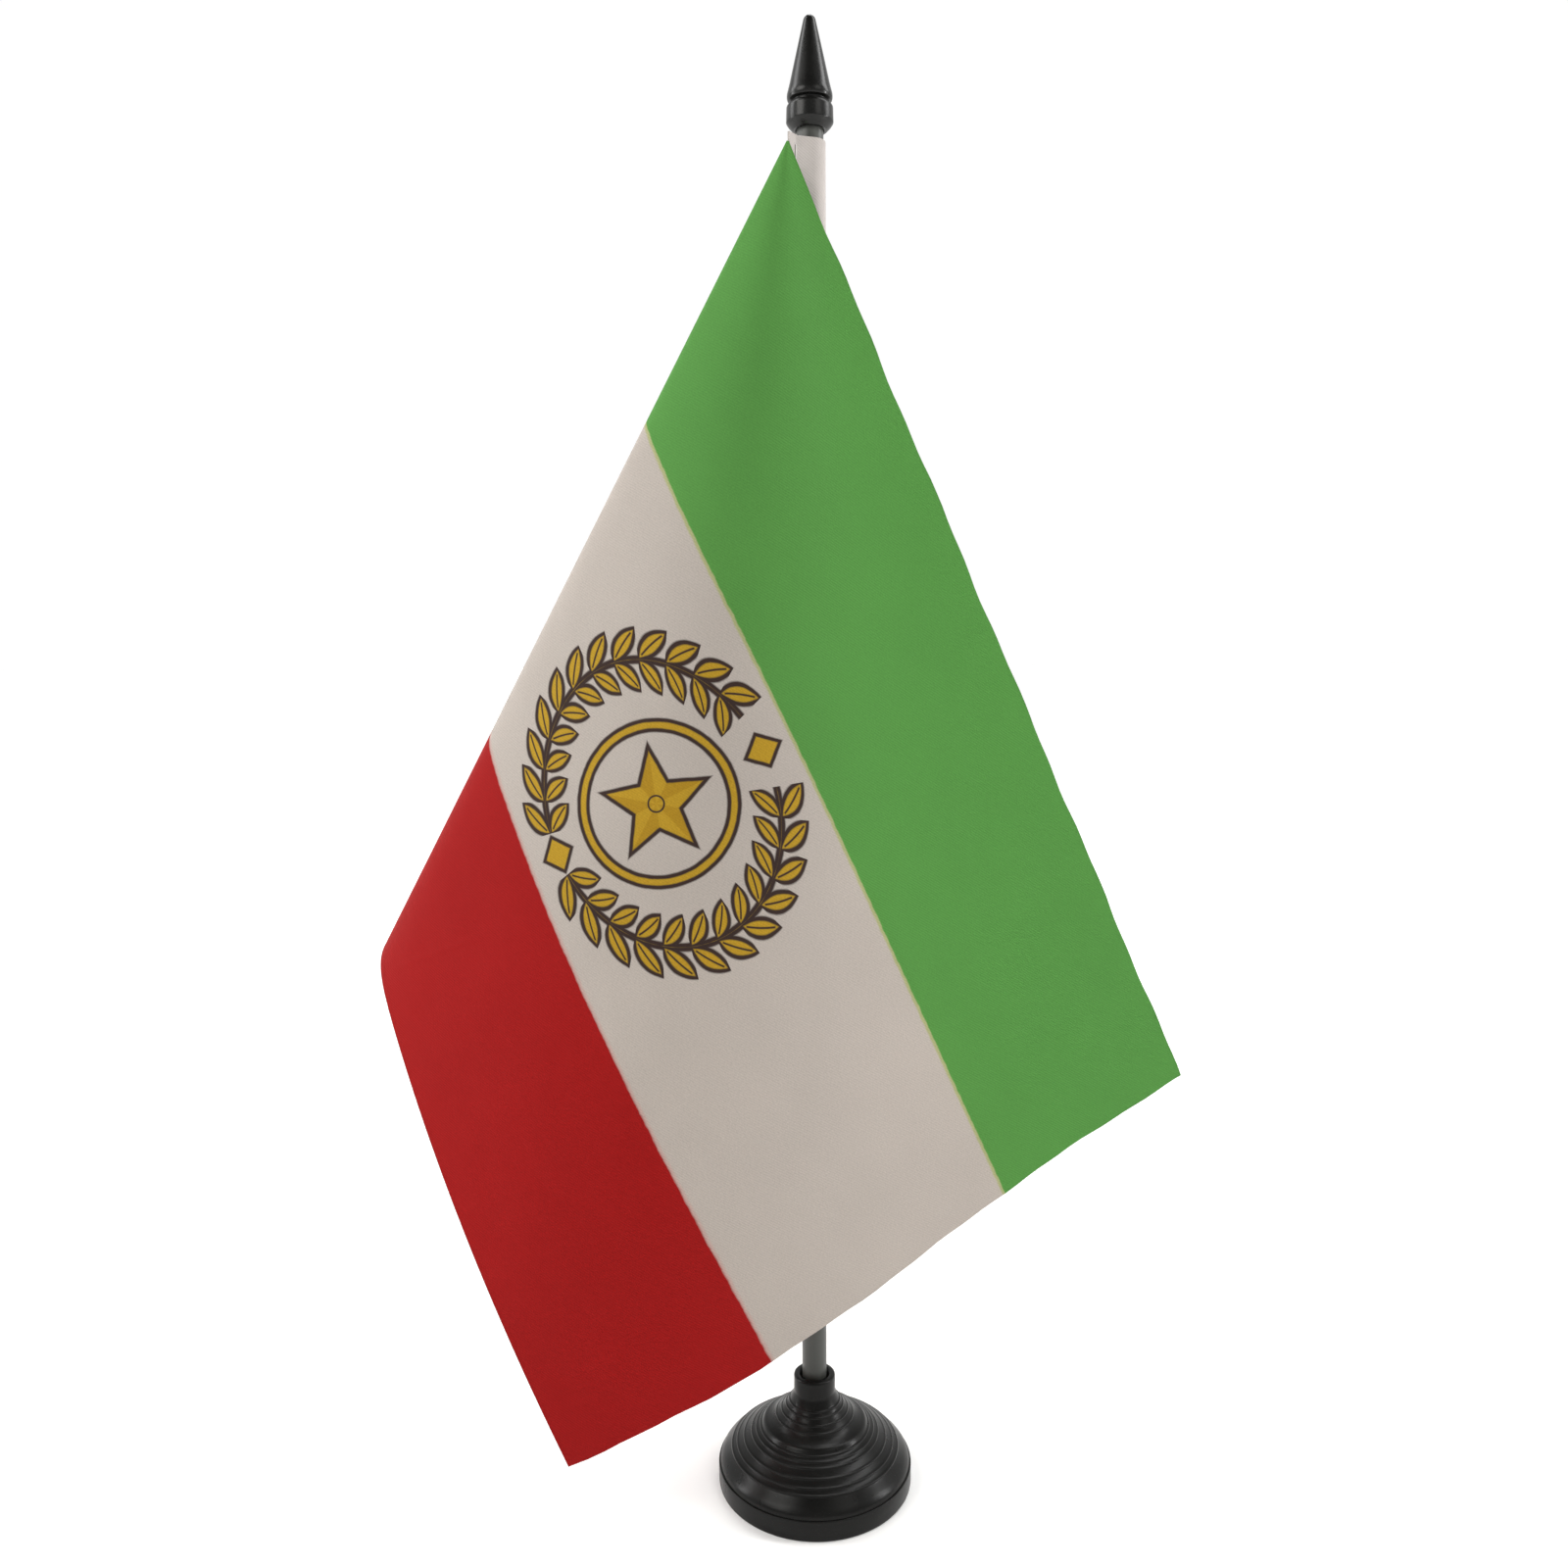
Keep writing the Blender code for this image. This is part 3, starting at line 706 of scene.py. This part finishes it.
def emblem(finish, along, down):
    """A generic gold device: a faceted star in a ring between two laurel branches.
    Gives how far a point lies outside its shapes, in millimetres, and where its gold is darker."""
    x = along - EMBLEM_ALONG / MM
    y = EMBLEM_DOWN / MM - down
    radius = (x * x + y * y).math("SQRT")

    points = 5
    star_tip, star_waist = 10.6, 4.7
    sector = 2 * math.pi / points
    turn = x.math("ARCTAN2", y) / sector + 0.5
    turn = (turn.math("FRACT") - 0.5) * sector
    out = radius * turn.math("COSINE")
    side = radius * turn.math("SINE")
    edge_x = star_waist * math.cos(sector / 2) - star_tip
    edge_y = star_waist * math.sin(sector / 2)
    edge = math.hypot(edge_x, edge_y)
    star = (out - star_tip) * (edge_y / edge) + side.size() * (-edge_x / edge)
    facet = side.inside(0.0, 0.15) * star.inside(0.0, 0.2)
    ring_radius, ring_half, pearl_radius = 14.4, 0.9, 1.5
    ring = (radius - ring_radius).size() - ring_half
    pearl = radius - pearl_radius

    wreath = 21.9
    narrowed = x * 0.80
    climb = narrowed.size().math("ARCTAN2", -y) * wreath
    rise = (narrowed * narrowed + y * y).math("SQRT") - wreath
    pitch, leaves, first_leaf = 5.0, 12, 3.2
    cell = ((climb - first_leaf) / pitch).math("FRACT") * pitch - pitch / 2
    lean = math.radians(44)
    spread = rise.size() - 2.4
    lengthwise = cell * math.cos(lean) + spread * math.sin(lean)
    across = (spread * math.cos(lean) - cell * math.sin(lean)).size()
    half_length, half_width = 3.4, 1.4
    reach = lengthwise / half_length
    leaf = across - (1 - reach * reach) * half_width
    stem = rise.size() - 0.28
    branch = leaf.least(stem)
    trim = 0.2
    below = (first_leaf + trim - climb) * 8
    beyond = (climb - (first_leaf - trim) - pitch * leaves) * 8
    branch = branch.most(below).most(beyond)
    knot = (x.size() + (y + wreath).size() * 1.1) / 1.4 - 2.5
    jewel = (x.size() * 1.1 + (y - wreath).size()) / 1.4 - 2.5
    shape = star.least(ring).least(branch).least(knot).least(jewel)
    rib = across.most(reach.size() * 2 - 1.3).inside(0.16, 0.14) * branch.inside(-0.2, 0.2)
    pearl_line = (pearl.size() - 0.05).inside(0.12, 0.14)
    return shape, facet, rib.most(pearl_line)


def printed_cloth():
    cloth = Finish(
        "flag_print", Roughness=0.82, Specular_IOR_Level=0.18, Sheen_Weight=0.06, Sheen_Roughness=0.5
    )
    uv = cloth.add("ShaderNodeTexCoord", output="UV")
    split = cloth.add("ShaderNodeSeparateXYZ", None, [uv])
    along = split * (FLAG_LENGTH / MM)
    down = (1 - Wire(cloth, split.socket.node.outputs[1])) * (FLAG_LENGTH / MM)

    green, white, red = (0.112, 0.335, 0.071), (0.56, 0.505, 0.460), (0.390, 0.0068, 0.0068)
    gold, deep_gold, ink = (0.58, 0.365, 0.030), (0.44, 0.25, 0.016), (0.050, 0.030, 0.026)
    wander = (cloth.noise(uv, 90.0, 2.0) - 0.5) * 0.5
    top = TOP_STRIPE / MM
    low = LOW_STRIPE / MM
    in_green = (down + wander).inside(top, 0.25)
    in_red = 1 - (down + wander).inside(low, 0.45)
    field = cloth.mix(in_green, white, green)
    fringe = (down + wander - (top + 0.25)).size().inside(0.3, 0.4)
    field = cloth.mix(fringe * 0.7, field, (0.42, 0.46, 0.13))
    field = cloth.mix(in_red, field, red)
    blush = (down + wander - (low - 0.3)).size().inside(0.3, 0.5)
    field = cloth.mix(blush * 0.35, field, (0.62, 0.28, 0.25))

    shape, facet, line = emblem(cloth, along, down)
    shape = shape + wander * 0.4
    grain = cloth.noise(uv, 420.0, 3.0, 0.65)
    golden = cloth.mix((facet * 0.5 + grain * 0.9 - 0.2).most(0.0).least(1.0), gold, deep_gold)
    golden = cloth.mix(line, golden, ink)
    field = cloth.mix(shape.inside(0.42, 0.3), field, ink)
    field = cloth.mix(shape.inside(-0.34, 0.25), field, golden)

    twill_angle = math.radians(34)
    across = along * math.sin(twill_angle) + down * math.cos(twill_angle)
    lengthwise = along * math.cos(twill_angle) - down * math.sin(twill_angle)
    wobble = cloth.noise(cloth.stretch(uv, (260.0, 260.0, 1.0)), 1.0, 1.0) * 1.4
    twill = (across * (2 * math.pi / TWILL_PITCH) + wobble).math("SINE")
    yarn = (lengthwise * (2 * math.pi / YARN_PITCH) + wobble).math("SINE")
    weave = twill * 0.7 + yarn * 0.3
    mottle = cloth.noise(uv, 560.0, 2.0, 0.65)
    cloud = cloth.noise(uv, 9.0, 2.0)
    gain = weave * 0.06 + (mottle - 0.5) * 0.42 + (cloud - 0.5) * 0.10 + 1.0
    cells = {"Vector": uv, "Scale": 9.0}
    spot = cloth.add("ShaderNodeTexVoronoi", None, cells, output="Distance")
    luck = cloth.add("ShaderNodeTexVoronoi", None, cells, output="Color")
    luck = cloth.add("ShaderNodeSeparateColor", None, [luck])
    speck = spot.inside(0.0022, 0.0012) * (1 - luck.inside(0.72, 0.01))
    gain = gain - speck * 0.55
    edge = down.least(FLAG_WIDTH / MM - down).least(FLAG_LENGTH / MM - along)
    gain = gain - edge.inside(0.22, 0.25) * 0.12
    field = cloth.tint(field, gain)
    cloth.feed("Base Color", field)
    cloth.feed("Roughness", 0.78 + mottle * 0.12)

    def crease(start, end, width):
        """A faint pressed line from one flat point to another."""
        run = (end[0] - start[0], end[1] - start[1])
        length = math.hypot(*run)
        ahead = ((along - start[0]) * run[0] + (down - start[1]) * run[1]) / length
        aside = ((along - start[0]) * run[1] - (down - start[1]) * run[0]) / length
        reach = (ahead - length / 2).size().inside(length / 2, 6.0)
        return (aside / width * -1 * (aside / width)).math("EXPONENT") * reach

    height = weave * 0.012 + (mottle - 0.5) * 0.03 + edge.inside(0.3, 0.3) * 0.03
    low_crease = crease((98, 141), (101, 118), 0.9)
    fly_crease = crease((161, 92), (158, 72), 0.9)
    height = height + low_crease * 0.07 + fly_crease * 0.06
    height = height + (cloth.noise(uv, 14.0, 2.0) - 0.5) * 0.5
    cloth.bump(height, MM, 0.9)

    glow = cloth.add("ShaderNodeBsdfTranslucent", None, {"Color": field})
    body = Wire(cloth, cloth.shader.outputs[0])
    both = cloth.add("ShaderNodeMixShader", None, [0.32, body, glow])
    cloth.tree.links.new(both.socket, cloth.output.inputs["Surface"])
    return cloth


def hem_cloth():
    cloth = Finish("hem_cloth", Roughness=0.85, Specular_IOR_Level=0.25, Sheen_Weight=0.12)
    uv = cloth.add("ShaderNodeTexCoord", output="UV")
    split = cloth.add("ShaderNodeSeparateXYZ", None, [uv])
    along = split * (FLAG_LENGTH / MM)
    up = Wire(cloth, split.socket.node.outputs[1]) * (FLAG_LENGTH / MM)
    twill = ((along * 0.56 + up * 0.83) * (2 * math.pi / TWILL_PITCH)).math("SINE")
    mottle = cloth.noise(uv, 700.0, 2.0, 0.6)
    cloud = cloth.noise(uv, 40.0, 2.0)
    gain = twill * 0.03 + (mottle - 0.5) * 0.16 + (cloud - 0.5) * 0.08 + 1.0
    white = cloth.mix(cloud, (0.415, 0.378, 0.356), (0.455, 0.418, 0.396))
    cloth.feed("Base Color", cloth.tint(white, gain))
    pucker = (up * (2 * math.pi / (STITCH_PITCH / MM))).math("SINE")
    near_seam = (along - STITCH_INSET / MM).size().inside(0.9, 1.4)
    height = twill * 0.012 + (mottle - 0.5) * 0.03 + pucker * near_seam * 0.06
    cloth.bump(height, MM, 0.9)
    return cloth


def sewing_thread():
    thread = Finish("sewing_thread", Roughness=0.7, Sheen_Weight=0.3)
    split = thread.add("ShaderNodeSeparateXYZ", None, [thread.place()])
    up = Wire(thread, split.socket.node.outputs[2])
    twist = ((split * 1.5 + up) * (2 * math.pi / (0.22 * MM))).math("SINE")
    thread.feed("Base Color", thread.mix(twist * 0.5 + 0.5, (0.56, 0.54, 0.51), (0.72, 0.70, 0.67)))
    thread.bump(twist, 0.02 * MM, 0.8)
    return thread


def moulded_black(name, roughness, gloss):
    """Injection-moulded black plastic: a faint skin, soft marks from handling, a little dust."""
    black = Finish(name, Specular_IOR_Level=gloss)
    place = black.place()
    skin = black.noise(place, 2600.0, 2.0, 0.55)
    cloud = black.noise(place, 160.0, 3.0, 0.6)
    flow = black.noise(black.stretch(place, (500.0, 500.0, 90.0)), 1.0, 2.0)
    dust = black.noise(place, 5200.0, 1.0).inside(0.27, 0.03)
    colour = black.mix(cloud, (0.0045, 0.0045, 0.0042), (0.0080, 0.0079, 0.0073))
    black.feed("Base Color", black.mix(dust * 0.35, colour, (0.07, 0.068, 0.062)))
    black.feed("Roughness", roughness + (cloud - 0.5) * 0.14 + (flow - 0.5) * 0.10)
    black.bump((skin - 0.5) * 0.7 + (flow - 0.5) * 0.8, 0.03 * MM, 0.35)
    return black


def extruded_pole():
    grey = Finish("extruded_pole", Specular_IOR_Level=0.45)
    place = grey.place()
    streak = grey.noise(grey.stretch(place, (2400.0, 2400.0, 12.0)), 1.0, 2.0)
    cloud = grey.noise(place, 120.0, 2.0)
    shade = streak * 0.6 + cloud * 0.4
    grey.feed("Base Color", grey.mix(shade, (0.040, 0.042, 0.038), (0.066, 0.068, 0.061)))
    grey.feed("Roughness", 0.42 + (streak - 0.5) * 0.2)
    grey.bump(streak, 0.03 * MM, 0.5)
    return grey


def stamped_steel():
    steel = Finish("stamped_steel", Metallic=1.0)
    place = steel.place()
    roll = steel.noise(steel.stretch(place, (60.0, 2600.0, 60.0)), 1.0, 3.0)
    stain = steel.noise(place, 140.0, 3.0)
    steel.feed("Base Color", steel.mix(stain, (0.40, 0.385, 0.36), (0.52, 0.51, 0.49)))
    steel.feed("Roughness", 0.34 + (roll - 0.5) * 0.3)
    steel.bump(roll, 0.02 * MM, 0.6)
    return steel


# ---------------------------------------------------------------- putting it together

camera()
studio()

base_black = moulded_black("base_black", 0.30, 0.16)
spear_black = moulded_black("spear_black", 0.28, 0.27)

dome = dome_moulding()
wear(dome, base_black)
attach(dome, "base")
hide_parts("base_dome")

foot = foot_moulding()
wear(foot, base_black)
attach(foot, "base")
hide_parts("base_foot")

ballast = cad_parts["ballast_disc"]
ballast.data.materials.clear()
ballast.data.materials.append(stamped_steel().material)

tube = pole_tube()
wear(tube, extruded_pole())
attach(tube, "stick")
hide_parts("pole")

tip = spear()
wear(tip, spear_black)
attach(tip, "spear")
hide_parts("finial")

hem, hem_width = sleeve()
wear(hem, hem_cloth())
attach(hem, "flag")
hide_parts("flag_sleeve")

thread_finish = sewing_thread()
threads = (("needle_stitches", "needle_thread", 1), ("bobbin_stitches", "bobbin_thread", -1))
for row_name, node, side in threads:
    row = stitches(row_name, side)
    wear(row, thread_finish)
    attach(row, "flag")
    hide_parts(node)

field = flag_field()
wear(field, printed_cloth())
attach(field, "flag")
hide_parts("flag_cloth")
